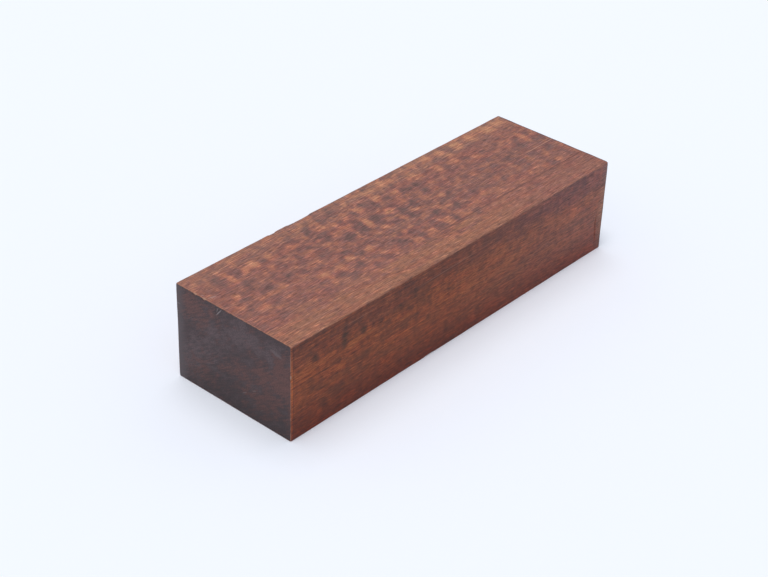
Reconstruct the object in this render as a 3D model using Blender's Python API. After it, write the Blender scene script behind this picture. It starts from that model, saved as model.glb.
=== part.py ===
"""A snakewood blank: one solid piece of wood, sawn and planed square.

Its arrises are lightly worn, with small chips broken out of them, and one side face carries a shallow
nick left by the saw beside the far end. Metres, +X along the grain, +Z up, origin under the middle.
"""

import itertools
import math
import random

import bmesh
import bpy
from mathutils import Matrix, Vector

MM = 0.001

# Driving dimensions
LENGTH = 128.0 * MM
WIDTH = 40.0 * MM
HEIGHT = 28.3 * MM

NEAR = -LENGTH / 2
FAR = LENGTH / 2
RIGHT = -WIDTH / 2
LEFT = WIDTH / 2
TOP = HEIGHT
BASE = 0.0

# Wear is the width that an arris has lost on each of the two faces that it joins
WEAR = 0.20 * MM
WEAR_SPREAD = 0.08 * MM
CORNER_WEAR = 0.30 * MM
WEAR_STATION = 4.0 * MM
WEAR_SEED = 11

# The far arris of the right side face is more worn, except just above the base
FAR_WEAR = 0.28 * MM
FAR_WEAR_STARTS = 3.0 * MM

# Chips are flat scoops broken out of the arrises: a middle, and radii in mm along X, Y and Z
CHIPS = {
    "chip_left_top_long": ((NEAR + 43.3 * MM, LEFT, TOP), (4.60, 0.42, 0.34)),
    "chip_left_top_short": ((NEAR + 33.5 * MM, LEFT, TOP), (1.50, 0.40, 0.28)),
    "chip_near_top_outer": ((NEAR, LEFT - 6.9 * MM, TOP), (0.46, 0.60, 0.42)),
    "chip_near_top_inner": ((NEAR, LEFT - 10.2 * MM, TOP), (0.52, 0.75, 0.44)),
    "chip_near_right": ((NEAR, RIGHT, TOP - 9.1 * MM), (0.50, 0.42, 0.55)),
    "chip_far_right_top": ((FAR, RIGHT, TOP), (0.50, 0.42, 0.42)),
    "chip_far_left": ((FAR, LEFT, BASE + 11.0 * MM), (0.55, 0.45, 1.10)),
    "chip_left_base": ((FAR - 31.0 * MM, LEFT, BASE), (3.20, 0.45, 0.40)),
    "chip_right_base": ((NEAR + 52.0 * MM, RIGHT, BASE), (2.40, 0.30, 0.30)),
}
CHIP_ROUNDNESS = 2
CHIP_JITTER = 0.16
CHIP_SEED = 5

# The nick is the shallow arc that the rim of a round saw leaves
SAW_WIDTH = 0.40 * MM
SAW_RIM_SIDES = 240
NICK_DEPTH = 0.30 * MM
NICK_HEIGHT = 10.4 * MM
NICK_FROM_FAR_END = 3.3 * MM
NICK_CENTRE = 7.5 * MM
NICK_LEAN = math.radians(5.5)

WELD = 0.001 * MM

WOOD_COLOUR = (0.205, 0.085, 0.060, 1.0)
WOOD_ROUGHNESS = 0.55

HALF = Vector((LENGTH / 2, WIDTH / 2, HEIGHT / 2))


def clear_scene():
    for obj in list(bpy.data.objects):
        bpy.data.objects.remove(obj, do_unlink=True)


def wood_material():
    material = bpy.data.materials.new("snakewood")
    material.use_nodes = True
    shader = material.node_tree.nodes["Principled BSDF"]
    shader.inputs["Base Color"].default_value = WOOD_COLOUR
    shader.inputs["Roughness"].default_value = WOOD_ROUGHNESS
    shader.inputs["Metallic"].default_value = 0.0
    return material


def wear_at(along, sides, place, draw):
    """How much of one face an arris has lost at a place along it, measured from the middle."""
    spread = draw.uniform(-WEAR_SPREAD, WEAR_SPREAD)
    is_far_right = along == 2 and sides == (1, -1)
    if is_far_right and place > FAR_WEAR_STARTS - HALF.z:
        return FAR_WEAR + spread / 2
    return WEAR + spread


def arris_rails(along, sides, draw):
    """The two lines of points that bound a worn arris, one on each of the faces that it joins.

    along is the axis that the arris runs in, and sides says which way it lies on the other two.
    """
    across = [axis for axis in range(3) if axis != along]
    reach = HALF[along] - CORNER_WEAR
    spans = round(2 * reach / WEAR_STATION)
    rails = ([], [])
    for station in range(spans + 1):
        place = reach * (2 * station / spans - 1)
        at_corner = station in (0, spans)
        for rail, face, other in ((rails[0], 0, 1), (rails[1], 1, 0)):
            wear = CORNER_WEAR if at_corner else wear_at(along, sides, place, draw)
            point = Vector()
            point[along] = place
            point[across[face]] = sides[face] * HALF[across[face]]
            point[across[other]] = sides[other] * (HALF[across[other]] - wear)
            rail.append(point)
    return rails


def lay_strip(mesh, rails):
    """A band of faces between two lines of points."""
    first, second = ([mesh.verts.new(point) for point in rail] for rail in rails)
    for i in range(len(first) - 1):
        mesh.faces.new((first[i], first[i + 1], second[i + 1], second[i]))


def fill_flat_face(mesh, axis, side):
    """Closes the opening that the worn arrises leave on one side, with a single flat face."""
    plane = side * HALF[axis]
    rim = [
        edge
        for edge in mesh.edges
        if edge.is_boundary and all(abs(v.co[axis] - plane) < WELD for v in edge.verts)
    ]
    bmesh.ops.contextual_create(mesh, geom=rim)


def worn_cuboid():
    """The whole piece before its chips: six flat faces, twelve worn arrises and eight worn corners."""
    draw = random.Random(WEAR_SEED)
    mesh = bmesh.new()
    for along in range(3):
        for sides in itertools.product((-1, 1), repeat=2):
            lay_strip(mesh, arris_rails(along, sides, draw))
    bmesh.ops.remove_doubles(mesh, verts=mesh.verts, dist=WELD)
    for axis, side in itertools.product(range(3), (-1, 1)):
        fill_flat_face(mesh, axis, side)
    corners = [edge for edge in mesh.edges if edge.is_boundary]
    bmesh.ops.holes_fill(mesh, edges=corners, sides=3)
    bmesh.ops.recalc_face_normals(mesh, faces=mesh.faces)
    bmesh.ops.translate(mesh, verts=mesh.verts, vec=(0, 0, HALF.z))
    return mesh


def object_from(mesh, name, collection):
    data = bpy.data.meshes.new(name)
    mesh.to_mesh(data)
    mesh.free()
    obj = bpy.data.objects.new(name, data)
    collection.objects.link(obj)
    return obj


def as_cutter(obj):
    obj.hide_render = True
    obj.display_type = "WIRE"
    return obj


def add_chip(name, centre, radii, collection, draw):
    """A cutter for one chip: a rough ellipsoid whose middle lies on an arris."""
    mesh = bmesh.new()
    bmesh.ops.create_icosphere(mesh, subdivisions=CHIP_ROUNDNESS, radius=MM)
    for vert in mesh.verts:
        vert.co *= 1.0 + draw.uniform(-CHIP_JITTER, CHIP_JITTER)
    bmesh.ops.scale(mesh, verts=mesh.verts, vec=radii)
    chip = as_cutter(object_from(mesh, name, collection))
    chip.location = centre


def add_saw_nick(collection):
    """A cutter for the nick: the rim of a thin saw that just enters the right side face."""
    radius = NICK_HEIGHT**2 / (8 * NICK_DEPTH) + NICK_DEPTH / 2
    mesh = bmesh.new()
    bmesh.ops.create_cone(
        mesh,
        cap_ends=True,
        segments=SAW_RIM_SIDES,
        radius1=radius,
        radius2=radius,
        depth=SAW_WIDTH,
        matrix=Matrix.Rotation(math.radians(90), 4, "Y"),
    )
    saw = as_cutter(object_from(mesh, "saw_nick", collection))
    saw.rotation_euler.y = -NICK_LEAN
    saw.location = (FAR - NICK_FROM_FAR_END, RIGHT - radius + NICK_DEPTH, NICK_CENTRE)


def add_cutters(collection):
    draw = random.Random(CHIP_SEED)
    for name, (centre, radii) in CHIPS.items():
        add_chip(name, centre, radii, collection, draw)
    add_saw_nick(collection)


def main():
    clear_scene()
    scene = bpy.context.scene.collection
    cutters = bpy.data.collections.new("cutters")
    cutters.hide_render = True
    scene.children.link(cutters)
    add_cutters(cutters)

    block = object_from(worn_cuboid(), "snakewood_block", scene)
    block.data.materials.append(wood_material())
    damage = block.modifiers.new("chips and nick", "BOOLEAN")
    damage.operation = "DIFFERENCE"
    damage.solver = "EXACT"
    damage.operand_type = "COLLECTION"
    damage.collection = cutters


main()
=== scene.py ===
"""A snakewood blank lying on a pale studio floor.

The blank is one closed mesh with worn arrises, small chips, a saw nick and fine relief along its grain.
Its colours come from nodes that work in millimetres, measured as a woodworker would measure the piece:
along it from the near end, across it from the back edge of the top, and down from the top.
"""

import math
import random

import bpy
import numpy as np
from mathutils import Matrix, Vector, noise


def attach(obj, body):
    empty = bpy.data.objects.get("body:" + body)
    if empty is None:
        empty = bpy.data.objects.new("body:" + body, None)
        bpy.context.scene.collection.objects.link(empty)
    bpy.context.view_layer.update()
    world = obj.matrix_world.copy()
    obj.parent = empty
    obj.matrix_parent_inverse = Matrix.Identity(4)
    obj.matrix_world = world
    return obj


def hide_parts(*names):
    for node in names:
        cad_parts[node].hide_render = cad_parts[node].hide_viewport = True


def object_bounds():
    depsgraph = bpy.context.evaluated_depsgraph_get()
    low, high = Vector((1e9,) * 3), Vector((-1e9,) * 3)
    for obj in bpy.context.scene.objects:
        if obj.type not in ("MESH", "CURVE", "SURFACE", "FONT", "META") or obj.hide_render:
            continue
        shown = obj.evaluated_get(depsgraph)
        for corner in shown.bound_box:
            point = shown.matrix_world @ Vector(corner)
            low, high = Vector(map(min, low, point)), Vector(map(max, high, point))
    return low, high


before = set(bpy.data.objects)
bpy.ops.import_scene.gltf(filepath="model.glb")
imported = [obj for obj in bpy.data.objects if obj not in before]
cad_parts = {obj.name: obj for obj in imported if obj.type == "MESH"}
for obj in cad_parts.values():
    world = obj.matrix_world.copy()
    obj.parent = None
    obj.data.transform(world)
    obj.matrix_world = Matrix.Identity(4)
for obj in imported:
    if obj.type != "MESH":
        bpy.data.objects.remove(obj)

CAD_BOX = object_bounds()
LOW, HIGH = (np.array(corner) for corner in CAD_BOX)
SIZE = HIGH - LOW

MM = 0.001
LENGTH_MM, WIDTH_MM, HEIGHT_MM = SIZE / MM
ALONG, ACROSS, UP = range(3)
NEAR_END, FAR_END, RIGHT, BACK, BASE, TOP = range(6)

# A point this near to a face of the box lies on it
ON_FACE = 0.0001 * MM

# Wear on the arrises, as the radius of their rounding
WEAR = 0.20 * MM
WEAR_SPREAD = 0.128 * MM
WEAR_LENGTH = 5.0 * MM
WEAR_SEED = 1
CORNER_WEAR = 0.30 * MM
CORNER_REACH = 0.6 * MM

# The far arris of the right side is more worn, except just above the base, and its top corner is broken
FAR_WEAR = 0.27 * MM
FAR_WEAR_REACH = 1.0 * MM
FAR_WEAR_STARTS = 3.0 * MM
BROKEN_CORNER_WEAR = 0.42 * MM
BROKEN_CORNER_REACH = 0.8 * MM

# Chips broken out of the arrises: their middle from the low corner of the box, and their radii, in mm
CHIPS = (
    ((43.3, WIDTH_MM, HEIGHT_MM), (4.60, 0.42, 0.34)),
    ((33.5, WIDTH_MM, HEIGHT_MM), (1.50, 0.40, 0.28)),
    ((0.0, WIDTH_MM - 6.9, HEIGHT_MM), (0.46, 0.60, 0.42)),
    ((0.0, WIDTH_MM - 10.2, HEIGHT_MM), (0.52, 0.75, 0.44)),
    ((0.0, 0.0, HEIGHT_MM - 9.1), (0.50, 0.42, 0.55)),
    ((LENGTH_MM, WIDTH_MM, 11.0), (0.55, 0.45, 1.10)),
    ((LENGTH_MM - 31.0, WIDTH_MM, 0.0), (3.20, 0.45, 0.40)),
    ((52.0, 0.0, 0.0), (2.40, 0.30, 0.30)),
)
CHIP_ROUGHNESS = 0.22
CHIP_LUMPS = 0.45 * MM
CHIP_SEED = 3
SMALLEST_CHIP = 1e-6
BROKEN_DEPTH = 0.12 * MM

# The nick of the saw on the right side face
NICK_DEPTH = 0.30 * MM
NICK_WIDTH = 0.40 * MM
NICK_HEIGHT = 10.4 * MM
NICK_FROM_FAR_END = 3.3 * MM
NICK_MIDDLE = 7.5 * MM
NICK_LEAN = math.radians(5.5)
NICK_BEND_REACH = 2.6 * MM

# Relief of the faces, always inwards: grooves along the grain, and the slanting marks of a saw on the ends
GRAIN_RELIEF = 0.018 * MM
GRAIN_PITCH = 2.0 * MM
GRAIN_LENGTH = 30.0 * MM
GRAIN_SIZE = (GRAIN_LENGTH, GRAIN_PITCH, GRAIN_PITCH)
GRAIN_SEED = 5
FINE_GRAIN_SIZE = (GRAIN_LENGTH / 3, GRAIN_PITCH / 2.2, GRAIN_PITCH / 2.2)
FINE_GRAIN_SHARE = 0.5
FINE_GRAIN_SEED = 6
GRAIN_PEAK = 1.2
SAW_RELIEF = 0.030 * MM
SAW_PITCH = 2.2 * MM
SAW_SIZE = (1.0, 14 * SAW_PITCH, SAW_PITCH)
SAW_SLOPE = math.radians(32)
SAW_SEED = 7
RELIEF_CALM = 0.6 * MM

# The fine raised fibre on the top, from the far end, with the wood on both sides of it lying lower
HAIR_FROM_BACK = 20.2 * MM
HAIR_LENGTH = 20.0 * MM
HAIR_WIDTH = 0.45 * MM
HAIR_BED = 4 * HAIR_WIDTH
HAIR_RISE = 0.045 * MM

# Spacing of the mesh, finer at the arrises and over the chips, the nick and the raised fibre
STEP = {ALONG: 0.85 * MM, ACROSS: 0.60 * MM, UP: 0.62 * MM}
STEP_GROWTH = 0.45
ARRIS_STEP = 0.07 * MM
CHIP_STEP = 0.30 * MM
NICK_STEP = 0.13 * MM
NICK_FINE_REACH = 1.2 * NICK_WIDTH
HAIR_STEP = HAIR_WIDTH / 4

# The flat map that holds all six faces
MAP_NAME = "OFBake"
MAP_GAP = 1.5 * MM

# Each seed takes its noise from another place
SEED_SHIFT = 17.3

# The figure on the top and the right side. Each mark has its place along the wood and across it, or down
# from the top on the side, its length and width, all in mm, and its strength.
TOP_OVALS = (
    (8.0, 6.9, 3.5, 4.8, 1.1), (5.6, 10.5, 3.4, 3.0, 0.6), (13.6, 7.2, 3.0, 4.6, 1.0),
    (12.0, 12.5, 4.4, 2.6, 0.9), (7.1, 17.6, 3.2, 2.2, 1.0), (14.2, 17.6, 4.2, 3.2, 1.1),
    (19.2, 17.8, 2.6, 2.4, 0.9), (22.2, 17.2, 2.6, 3.2, 0.9), (26.0, 18.6, 2.2, 2.6, 1.0),
    (22.4, 7.5, 2.8, 2.6, 1.0), (24.7, 14.2, 4.4, 2.4, 0.7), (29.4, 14.7, 2.6, 2.4, 0.8),
    (36.1, 15.3, 3.4, 3.8, 0.8), (39.7, 20.6, 3.8, 2.4, 0.9), (34.2, 6.4, 3.0, 3.4, 0.8),
    (35.0, 10.3, 4.8, 2.4, 0.8), (40.3, 5.8, 3.4, 4.4, 0.9), (41.7, 10.8, 3.0, 3.8, 0.9),
    (34.4, 29.4, 3.4, 3.0, 0.7), (38.0, 27.0, 3.2, 2.8, 0.7), (32.2, 26.4, 3.0, 2.4, 0.7),
    (8.9, 29.2, 3.4, 2.8, 0.7), (1.7, 29.4, 2.6, 3.8, 0.7), (25.8, 25.8, 3.0, 2.4, 0.7),
    (3.6, 21.7, 4.4, 2.0, 0.7), (12.5, 23.0, 5.2, 2.2, 0.7), (41.7, 30.8, 2.6, 2.8, 0.7),
    (34.7, 33.9, 2.4, 2.4, 0.5), (18.9, 38.0, 2.8, 2.4, 0.5), (24.5, 30.5, 5.0, 2.4, 0.5),
    (18.0, 27.5, 5.0, 2.2, 0.4), (27.5, 10.3, 2.6, 1.8, 0.5), (47.2, 4.6, 3.2, 5.2, 0.7),
    (52.5, 3.1, 3.6, 5.8, 0.6), (55.4, 8.2, 3.0, 3.4, 1.0), (61.8, 8.0, 4.2, 5.2, 0.9),
    (68.5, 8.9, 3.0, 4.2, 0.9), (72.7, 6.1, 2.8, 3.0, 0.4), (75.2, 9.7, 4.0, 2.6, 0.9),
    (78.8, 6.1, 3.0, 4.0, 0.4), (80.7, 10.3, 4.6, 3.4, 0.9), (46.3, 16.2, 4.4, 4.2, 1.1),
    (52.1, 15.3, 4.0, 5.4, 1.2), (58.6, 14.8, 3.8, 5.4, 1.2), (66.6, 15.5, 3.6, 5.0, 1.1),
    (67.1, 20.0, 3.0, 2.8, 1.0), (72.1, 15.6, 3.2, 4.4, 1.0), (82.4, 18.9, 3.0, 2.0, 1.0),
    (61.8, 18.9, 4.0, 1.8, 0.9), (48.4, 21.1, 4.0, 2.0, 1.0), (56.6, 24.4, 2.6, 1.8, 0.9),
    (53.5, 27.0, 5.2, 4.2, 0.8), (47.1, 29.4, 3.6, 2.2, 0.8), (61.0, 27.0, 3.0, 5.2, 0.9),
    (67.7, 28.3, 3.0, 5.0, 0.9), (74.1, 29.4, 3.2, 3.8, 0.9), (72.4, 24.2, 3.8, 4.2, 0.8),
    (79.1, 24.7, 4.4, 3.0, 0.8), (80.2, 31.4, 4.2, 2.6, 0.7), (43.2, 23.0, 2.6, 2.4, 0.9),
    (50.4, 8.9, 2.6, 1.4, 1.0), (62.7, 15.3, 2.2, 1.0, 0.9), (78.8, 13.3, 3.0, 3.4, 0.8),
    (53.0, 11.3, 2.2, 2.0, 0.7), (88.9, 2.5, 2.8, 3.8, 0.7), (101.2, 3.3, 3.4, 5.2, 0.9),
    (108.4, 5.2, 2.6, 5.4, 0.9), (114.8, 6.9, 3.4, 4.0, 0.8), (95.0, 5.6, 4.8, 3.0, 0.7),
    (93.4, 11.7, 3.4, 4.0, 0.8), (100.3, 9.7, 3.2, 2.2, 0.9), (107.3, 10.3, 2.2, 2.6, 0.9),
    (104.8, 13.9, 3.6, 2.2, 0.8), (99.5, 14.4, 3.4, 2.0, 0.8), (98.9, 16.9, 3.0, 1.4, 0.9),
    (92.6, 16.9, 2.8, 2.2, 0.9), (102.8, 18.6, 2.8, 2.0, 0.9), (109.2, 18.6, 2.6, 1.8, 0.9),
    (118.1, 16.4, 5.2, 3.4, 0.8), (119.5, 12.8, 2.4, 2.8, 0.8), (125.3, 16.9, 4.4, 2.8, 0.8),
    (125.3, 12.2, 2.6, 2.4, 0.8), (117.0, 21.9, 4.8, 2.6, 1.0), (123.1, 22.5, 3.4, 4.4, 0.9),
    (110.3, 22.2, 3.8, 2.4, 0.9), (110.6, 25.3, 3.0, 2.0, 0.7), (100.0, 24.7, 4.0, 2.0, 0.8),
    (93.9, 25.0, 3.6, 1.8, 0.7), (88.1, 23.0, 3.4, 3.4, 0.8), (123.9, 29.2, 3.2, 2.8, 0.9),
    (116.7, 28.9, 2.6, 3.0, 0.8), (125.3, 34.2, 2.6, 2.0, 0.7), (103.0, 33.6, 3.4, 2.4, 0.5),
    (112.0, 11.0, 3.2, 2.4, 0.5), (86.5, 9.6, 3.0, 3.4, 0.6), (85.5, 14.6, 3.6, 2.4, 0.6),
)
TOP_FLECKS = (
    (10.6, 8.2, 1.9, 6.2, 1.2), (6.0, 15.4, 2.6, 2.2, 1.0), (16.9, 8.2, 3.8, 2.4, 1.1),
    (19.9, 7.2, 2.4, 3.6, 1.2), (25.0, 8.0, 2.2, 3.4, 1.0), (32.5, 8.4, 3.4, 1.7, 0.9),
    (22.2, 12.2, 2.4, 1.8, 0.6), (27.8, 12.8, 2.4, 2.4, 0.6), (33.3, 13.0, 3.4, 1.6, 0.7),
    (12.0, 20.2, 4.4, 1.8, 0.8), (17.8, 20.8, 6.0, 1.2, 0.8), (24.2, 18.9, 1.8, 3.4, 0.7),
    (28.6, 23.9, 3.0, 2.8, 1.1), (34.6, 24.4, 2.8, 2.8, 1.1), (38.9, 22.8, 3.4, 1.9, 0.9),
    (37.5, 7.5, 2.6, 3.4, 0.6), (8.0, 23.6, 3.4, 2.6, 0.7), (17.0, 1.6, 4.4, 2.2, 0.7),
    (30.6, 0.8, 3.4, 1.6, 0.7), (40.0, 3.3, 3.2, 1.4, 0.8), (28.6, 28.0, 2.4, 2.8, 0.6),
    (3.0, 19.6, 4.6, 1.8, 0.7), (39.5, 14.2, 2.6, 1.6, 0.7), (11.0, 26.5, 6.0, 1.4, 0.5),
    (47.7, 8.3, 3.4, 2.0, 1.0), (53.2, 8.3, 2.6, 3.4, 0.9), (44.6, 7.2, 2.6, 2.4, 0.8),
    (58.2, 8.3, 2.3, 3.6, 0.9), (55.1, 14.8, 2.3, 5.2, 1.4), (63.9, 13.7, 4.2, 2.2, 1.4),
    (60.7, 16.4, 3.2, 1.5, 1.2), (63.3, 17.3, 2.4, 1.2, 1.0), (57.5, 19.6, 2.9, 1.8, 1.2),
    (64.3, 19.2, 2.7, 1.6, 1.0), (46.0, 23.0, 2.7, 2.4, 1.3), (60.7, 23.9, 5.2, 1.4, 0.9),
    (68.8, 23.0, 3.4, 1.6, 0.9), (70.7, 19.2, 3.6, 1.9, 1.0), (49.0, 16.4, 1.6, 5.0, 0.8),
    (70.4, 13.3, 2.4, 3.4, 0.8), (80.2, 18.3, 3.8, 2.0, 1.0), (76.0, 23.0, 3.9, 2.0, 0.9),
    (71.8, 28.9, 3.0, 3.2, 1.0), (64.3, 28.9, 2.8, 3.0, 0.9), (58.2, 29.2, 2.6, 2.6, 0.8),
    (76.8, 29.2, 3.6, 2.8, 0.9), (66.3, 7.8, 2.6, 3.0, 0.9), (72.7, 8.5, 3.2, 1.8, 0.9),
    (82.4, 6.7, 3.4, 4.2, 0.8), (74.0, 3.2, 4.6, 2.6, 0.8), (49.3, 28.6, 2.2, 2.8, 0.7),
    (83.2, 28.0, 3.4, 2.0, 0.8), (48.5, 12.0, 3.6, 1.8, 0.7), (75.5, 16.8, 4.0, 1.8, 0.6),
    (52.5, 19.4, 3.4, 1.6, 0.6), (66.0, 2.6, 5.0, 2.4, 0.5), (86.2, 2.2, 3.2, 2.6, 0.8),
    (92.3, 2.5, 3.2, 2.8, 1.0), (97.7, 2.8, 3.2, 2.4, 0.9), (104.5, 3.0, 3.4, 4.4, 1.1),
    (111.2, 3.1, 3.8, 3.8, 1.2), (118.4, 3.3, 4.6, 4.0, 1.2), (124.5, 2.5, 3.8, 2.3, 1.3),
    (90.6, 8.6, 3.6, 3.4, 0.8), (97.6, 8.6, 4.2, 2.6, 0.9), (99.2, 5.9, 2.2, 2.6, 0.9),
    (103.9, 11.4, 3.0, 2.4, 0.8), (116.7, 11.4, 3.6, 2.1, 0.8), (122.4, 13.6, 2.6, 5.0, 0.9),
    (126.7, 13.3, 1.8, 3.2, 0.7), (89.5, 16.9, 3.2, 2.2, 0.7), (95.3, 16.7, 3.2, 2.0, 0.8),
    (103.1, 16.4, 4.2, 1.7, 0.7), (107.0, 22.8, 2.6, 2.1, 0.9), (113.7, 23.0, 2.8, 2.4, 1.0),
    (120.0, 23.6, 2.3, 2.4, 0.9), (126.4, 23.3, 2.0, 2.8, 0.8), (98.7, 22.8, 3.2, 1.9, 0.8),
    (90.0, 26.7, 3.4, 1.7, 0.8), (100.9, 26.4, 3.4, 1.4, 0.8), (119.8, 28.6, 2.2, 3.0, 0.8),
    (113.7, 28.2, 3.4, 1.9, 0.8), (107.3, 27.8, 2.8, 2.0, 0.7), (94.5, 28.6, 4.0, 1.8, 0.6),
)
SIDE_OVALS = (
    (8.3, 7.5, 2.6, 2.0, 1.3), (13.4, 7.9, 2.4, 1.8, 0.6), (19.0, 6.9, 1.9, 3.6, 1.4),
    (25.8, 7.3, 2.2, 2.8, 1.4), (32.0, 7.7, 2.2, 2.6, 1.2), (39.0, 6.4, 3.4, 2.0, 0.5),
    (50.0, 7.3, 2.4, 2.0, 0.6), (75.0, 7.0, 3.6, 2.0, 0.5), (89.5, 7.2, 3.6, 2.2, 0.6),
    (98.5, 8.0, 3.4, 2.2, 0.5), (90.4, 15.8, 2.6, 1.8, 0.6), (94.6, 15.4, 2.4, 1.8, 0.6),
    (11.7, 22.5, 2.2, 3.4, 0.6), (16.7, 20.4, 2.4, 2.6, 0.5), (5.0, 24.2, 2.6, 2.4, 0.5),
    (44.0, 24.0, 3.2, 3.0, 0.5), (61.5, 17.6, 3.0, 1.8, 0.4), (72.0, 23.5, 3.2, 2.4, 0.4),
    (103.0, 19.0, 3.2, 2.4, 0.4), (118.5, 12.0, 3.2, 2.0, 0.4),
)
SIDE_FLECKS = (
    (7.0, 9.6, 9.0, 1.8, 1.4), (12.6, 9.2, 4.6, 1.6, 1.5), (21.5, 9.9, 5.0, 1.8, 1.6),
    (26.6, 9.4, 6.0, 1.7, 1.4), (16.5, 5.0, 3.0, 2.4, 0.6), (22.5, 6.0, 2.2, 3.0, 0.7),
    (17.5, 14.6, 5.6, 1.2, 0.8), (30.5, 14.0, 7.0, 1.3, 0.6), (40.0, 15.5, 6.0, 1.2, 0.5),
    (52.0, 9.0, 6.0, 1.4, 0.5), (67.0, 13.8, 10.0, 1.4, 0.6), (89.0, 12.8, 12.0, 1.4, 0.6),
    (80.0, 10.6, 5.0, 1.2, 0.5), (103.0, 9.0, 7.0, 1.5, 0.6), (111.0, 12.0, 8.0, 1.5, 0.5),
    (54.0, 12.2, 5.0, 1.0, 0.4), (39.5, 10.8, 8.0, 2.4, 0.6),
)

# Redder and greyer patches of the near end: place across it and down it, width, height and strength
END_RED = (
    (6.5, 5.0, 12.0, 9.0, 1.0), (33.0, 13.5, 13.0, 9.0, 0.9), (23.0, 16.0, 7.0, 6.0, 0.7),
    (39.5, 15.0, 3.0, 24.0, 0.6), (37.0, 9.0, 6.0, 9.0, 0.8), (30.0, 22.0, 14.0, 8.0, 0.8),
    (8.0, 22.5, 14.0, 9.0, 0.6), (17.0, 17.0, 8.0, 5.0, 0.4),
)
END_PALE = (
    (13.0, 10.0, 11.0, 8.0, 0.6), (30.0, 5.5, 15.0, 6.0, 0.6), (21.0, 6.0, 13.0, 8.0, 0.4),
    (9.0, 17.0, 9.0, 7.0, 0.6), (35.0, 4.2, 4.6, 1.8, 0.8), (24.0, 4.0, 10.0, 5.0, 0.5),
    (4.5, 22.0, 10.0, 12.0, 0.8), (27.0, 19.5, 4.0, 3.0, 0.4),
)

# A mark spreads a little past its size, and its outline is bent by noise. The patches of the near end also
# have a depth in mm.
MARK_SPREAD = 1.75
MARK_BEND = 0.9
MARK_BEND_SIZE = (3.2, 2.6, 2.6)
MARK_BEND_SEEDS = (21, 22, 23)
END_MARK_DEPTH = 2.0

# Marks that follow a rule, on the back and the base: rows of ovals with a fleck after each of them. Sizes
# and distances are in mm, and each pair of numbers is the least and the most that is drawn.
ROW_HEIGHT = 4.9
ROW_WANDER = 0.3
PITCH = 6.4
PITCH_SHARES = (0.8, 1.25)
FLECK_AFTER_OVAL = (0.4, 0.6)
OVAL_LENGTHS = (2.4, 4.2)
OVAL_WIDTHS = (2.4, 4.4)
OVAL_STRENGTHS = (0.4, 1.0)
FLECK_LENGTHS = (1.8, 3.6)
FLECK_WIDTHS = (1.4, 3.2)
FLECK_STRENGTHS = (0.2, 0.9)
BACK_ROWS = 6
BACK_STRENGTH = 0.9
BACK_SEED = 31
BASE_ROWS = 8
BASE_STRENGTH = 0.7
BASE_SEED = 32

# The camera
EYE = (-301.39 * MM, -253.76 * MM, 261.27 * MM)
EYE_TURN = (math.radians(57.028), math.radians(-1.671), math.radians(-48.059))
LENS = 80.69
SENSOR = 36.0
CLIP_START = 0.01

# The light: two soft round lights overhead, each with its share of the light on the floor, half its width
# in the sky, its tilt from straight up and the way it leans, and an even sky
SOFT_LIGHTS = (
    ("overhead_front", 0.40, math.radians(10), math.radians(11.6), math.radians(200)),
    ("overhead_back", 0.20, math.radians(17.3), math.radians(12), math.radians(57)),
)
LIGHT_COLOUR = (0.975, 0.996, 1.005)
SKY = 0.40
SKY_COLOUR = (0.955, 1.04, 1.22, 1.0)

FLOOR_REACH = 6.0
FLOOR_COLOUR = (0.957, 0.960, 0.993, 1.0)
FLOOR_ROUGHNESS = 0.9


def fine_stretches(axis):
    """The stretches of one axis that need fine steps, each with its middle, its reach and its step."""
    found = [(LOW[axis], 0.0, ARRIS_STEP), (HIGH[axis], 0.0, ARRIS_STEP)]
    for middle, radii in CHIPS:
        place = LOW[axis] + middle[axis] * MM
        if LOW[axis] + ON_FACE < place < HIGH[axis] - ON_FACE:
            found.append((place, radii[axis] * MM, CHIP_STEP))
    if axis == ALONG:
        found.append((HIGH[axis] - NICK_FROM_FAR_END, NICK_FINE_REACH, NICK_STEP))
    if axis == ACROSS:
        found.append((HIGH[axis] - HAIR_FROM_BACK, HAIR_WIDTH, HAIR_STEP))
    return found


def stations(axis):
    """Places of the mesh lines on one axis, which grow apart with the distance from the fine stretches."""
    low, high = LOW[axis], HIGH[axis]
    fine = fine_stretches(axis)
    places = [low]
    while places[-1] < high:
        here = places[-1]
        steps = [step + STEP_GROWTH * max(0.0, abs(here - middle) - reach) for middle, reach, step in fine]
        places.append(here + min(STEP[axis], *steps))
    places = np.array(places)
    return low + (places - low) * (high - low) / (places[-1] - low)


def lattice():
    """Points all over the surface of the box, the faces between them, and the side that each face is on."""
    lines = [stations(axis) for axis in range(3)]
    counts = [len(line) for line in lines]
    grid = np.indices(counts).reshape(3, -1)
    last = np.array(counts)[:, None] - 1
    on_surface = ((grid == 0) | (grid == last)).any(axis=0)
    number = np.full(counts, -1)
    number.reshape(-1)[on_surface] = np.arange(on_surface.sum())
    points = np.stack([lines[axis][grid[axis][on_surface]] for axis in range(3)], axis=1)
    faces, sides = [], []
    for side in (NEAR_END, FAR_END, RIGHT, BACK, BASE, TOP):
        axis, is_high = divmod(side, 2)
        sheet = np.take(number, -is_high, axis=axis)
        corners = [sheet[:-1, :-1], sheet[1:, :-1], sheet[1:, 1:], sheet[:-1, 1:]]
        quads = np.stack(corners, axis=-1).reshape(-1, 4)
        faces_out = (axis != ACROSS) == bool(is_high)
        faces.append(quads if faces_out else quads[:, ::-1])
        sides.append(np.full(len(quads), side))
    return points, np.concatenate(faces), np.concatenate(sides)


def rough(points, size, seed):
    """Smooth noise about zero at each point, size being that of its lumps, on all axes or on each."""
    places = points / np.array(size) + seed * SEED_SHIFT
    return np.array([noise.noise(place) for place in places.tolist()])


def fade(distance, reach):
    """1 at no distance, falling smoothly to 0 at reach."""
    share = np.clip(1 - np.abs(distance) / reach, 0, 1)
    return share * share * (3 - 2 * share)


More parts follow.
